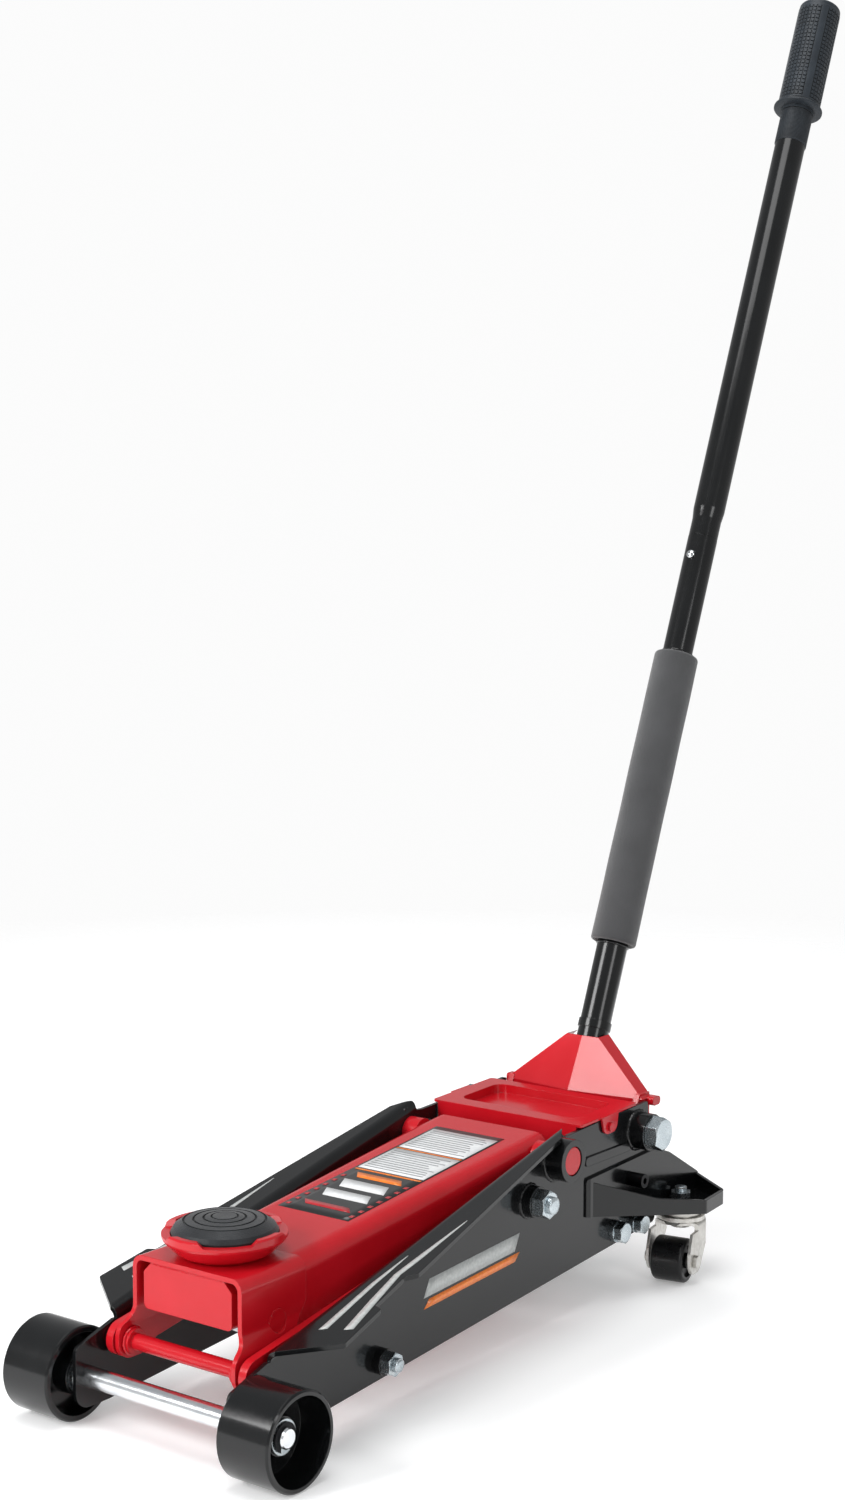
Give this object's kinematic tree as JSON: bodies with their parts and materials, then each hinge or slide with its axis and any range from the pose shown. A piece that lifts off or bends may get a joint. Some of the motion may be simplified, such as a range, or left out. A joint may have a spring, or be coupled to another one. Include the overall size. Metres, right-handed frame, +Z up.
{
  "type": "hydraulic floor jack",
  "caption": "Red and black steel floor jack with a low wheeled frame, a lifting arm with a swivelling saddle, rear casters and a long pump handle",
  "frame": {"origin": "on the floor at the middle of the footprint: midway between the two sides, and midway between the front of the front wheels and the rear edge of the handle grip", "axes": "+X to the right side seen from the front, +Y from the front axle towards the rear casters and handle, +Z up"},
  "size_m": [0.3, 1.1836, 1.3846],
  "materials": {
    "red_paint": "high-gloss red enamel",
    "black_paint": "high-gloss black enamel",
    "cast_black": "black painted casting",
    "zinc": "bright zinc plating",
    "spring_steel": "oiled spring wire",
    "chrome": "ground and plated",
    "black_oxide": "black oxide",
    "steel_wheel": "turned steel",
    "caster_tread": "glossy black polymer",
    "rubber": "matte moulded rubber",
    "foam": "soft open foam",
    "grip_plastic": "moulded grip texture"
  },
  "bodies": {
    "frame": {"side_plate_right": "black_paint", "side_plate_left": "black_paint", "front_axle": "zinc", "axle_washers": "zinc", "axle_clips": "spring_steel", "front_tie_rod": "zinc", "tie_rod_nuts": "zinc", "arm_pivot_bosses": "black_paint", "stud_bosses": "black_paint", "handle_pivot_bosses": "black_paint", "link_pivot_studs": "zinc", "link_pivot_nuts": "zinc", "handle_pivot_bolts": "zinc", "power_unit_block": "cast_black", "ram_cylinder": "black_paint", "cylinder_gland_nut": "zinc", "plunger_spring": "spring_steel", "return_springs": "spring_steel", "spring_anchor_pins": "zinc", "oil_filler_plug": "rubber", "safety_valve_cap": "zinc", "power_unit_bolts": "zinc", "caster_bracket_right": "black_paint", "caster_bracket_left": "black_paint", "bracket_screws": "black_oxide", "caster_mount_plates": "zinc", "caster_stud_nuts": "zinc", "top_tray": "red_paint", "tray_screws": "zinc"},
    "arm": {"lift_arm": "red_paint", "arm_pivot_shaft": "red_paint", "arm_crank": "red_paint"},
    "head": {"saddle_head": "red_paint", "saddle_socket_box": "red_paint", "head_pivot_pin": "red_paint", "head_cross_shaft": "red_paint"},
    "saddle": {"saddle_cup": "red_paint", "saddle_pad": "rubber"},
    "links": {"leveling_link_right": "red_paint", "leveling_link_left": "red_paint"},
    "ram": {"piston_rod": "chrome"},
    "plunger": {"pump_plunger": "chrome"},
    "valve": {"release_valve": "zinc"},
    "wheel_right": {"front_wheel_right": "black_paint"},
    "wheel_left": {"front_wheel_left": "black_paint"},
    "caster_right": {"caster_fork_right": "zinc", "caster_axle_right": "zinc"},
    "caster_left": {"caster_fork_left": "zinc", "caster_axle_left": "zinc"},
    "caster_roller_right": {"caster_wheel_right": "caster_tread"},
    "caster_roller_left": {"caster_wheel_left": "caster_tread"},
    "yoke": {"handle_yoke": "red_paint", "handle_socket": "red_paint", "roller_pin": "zinc"},
    "roller": {"pump_roller": "steel_wheel"},
    "handle": {"lower_handle_tube": "black_paint", "upper_handle_tube": "black_paint", "foam_sleeve": "foam", "handle_grip": "grip_plastic"},
    "button": {"spring_button": "chrome"}
  },
  "joints": [
    {"name": "lift", "type": "hinge", "parent": "frame", "child": "arm", "pos_m": [0, -0.10478, 0.1635], "axis": [-1, 0, 0], "range_deg": [0, 64], "deforming": ["return_springs"]},
    {"name": "head_level", "type": "hinge", "parent": "arm", "child": "head", "pos_m": [0, -0.47778, 0.101], "axis": [-1, 0, 0], "range_deg": [-64, 0]},
    {"name": "link_swing", "type": "hinge", "parent": "frame", "child": "links", "pos_m": [0, -0.14928, 0.132], "axis": [-1, 0, 0], "range_deg": [0, 64]},
    {"name": "ram_stroke", "type": "slide", "parent": "frame", "child": "ram", "axis": [0, -1, 0], "range_m": [0, 0.0745]},
    {"name": "saddle_turn", "type": "hinge", "parent": "head", "child": "saddle", "pos_m": [0, -0.47378, 0.146], "axis": [0, 0, 1], "continuous": true},
    {"name": "wheel_right_spin", "type": "hinge", "parent": "frame", "child": "wheel_right", "pos_m": [0, -0.55078, 0.041], "axis": [1, 0, 0], "continuous": true},
    {"name": "wheel_left_spin", "type": "hinge", "parent": "frame", "child": "wheel_left", "pos_m": [0, -0.55078, 0.041], "axis": [1, 0, 0], "continuous": true},
    {"name": "caster_right_swivel", "type": "hinge", "parent": "frame", "child": "caster_right", "pos_m": [0.105, 0.10222, 0], "axis": [0, 0, 1], "continuous": true},
    {"name": "caster_left_swivel", "type": "hinge", "parent": "frame", "child": "caster_left", "pos_m": [-0.105, 0.10222, 0], "axis": [0, 0, 1], "continuous": true},
    {"name": "caster_right_spin", "type": "hinge", "parent": "caster_right", "child": "caster_roller_right", "pos_m": [0.10882, 0.08055, 0.0225], "axis": [0.9848, 0.1736, 0], "continuous": true},
    {"name": "caster_left_spin", "type": "hinge", "parent": "caster_left", "child": "caster_roller_left", "pos_m": [-0.10118, 0.08055, 0.0225], "axis": [0.9848, 0.1736, 0], "continuous": true},
    {"name": "handle_stroke", "type": "hinge", "parent": "frame", "child": "yoke", "pos_m": [0, 0.04222, 0.161], "axis": [-1, 0, 0], "range_deg": [-3, 55]},
    {"name": "pump_stroke", "type": "slide", "parent": "frame", "child": "plunger", "axis": [0, 0, -1], "range_m": [-0.0014, 0.0245], "deforming": ["plunger_spring"]},
    {"name": "roller_turn", "type": "hinge", "parent": "yoke", "child": "roller", "pos_m": [0, 0.07022, 0.149], "axis": [1, 0, 0], "continuous": true},
    {"name": "handle_twist", "type": "hinge", "parent": "yoke", "child": "handle", "pos_m": [0, 0.06892, 0.172], "axis": [0, 0.3843, 0.9232], "range_deg": [0, 180]},
    {"name": "valve_turn", "type": "hinge", "parent": "frame", "child": "valve", "pos_m": [0.03, 0.07722, 0.1], "axis": [0, 0, 1], "range_deg": [0, 180]},
    {"name": "button_press", "type": "slide", "parent": "handle", "child": "button", "axis": [0, 0.9232, -0.3843], "range_m": [0, 0.0035]}
  ],
  "couplings": [
    {"joint": "head_level", "follows": "lift", "ratio": -1},
    {"joint": "link_swing", "follows": "lift", "ratio": 1},
    {"joint": "ram_stroke", "follows": "lift", "m_per_rad": 0.0664},
    {"joint": "pump_stroke", "follows": "handle_stroke", "m_per_rad": 0.025},
    {"joint": "valve_turn", "follows": "handle_twist", "ratio": 1}
  ]
}
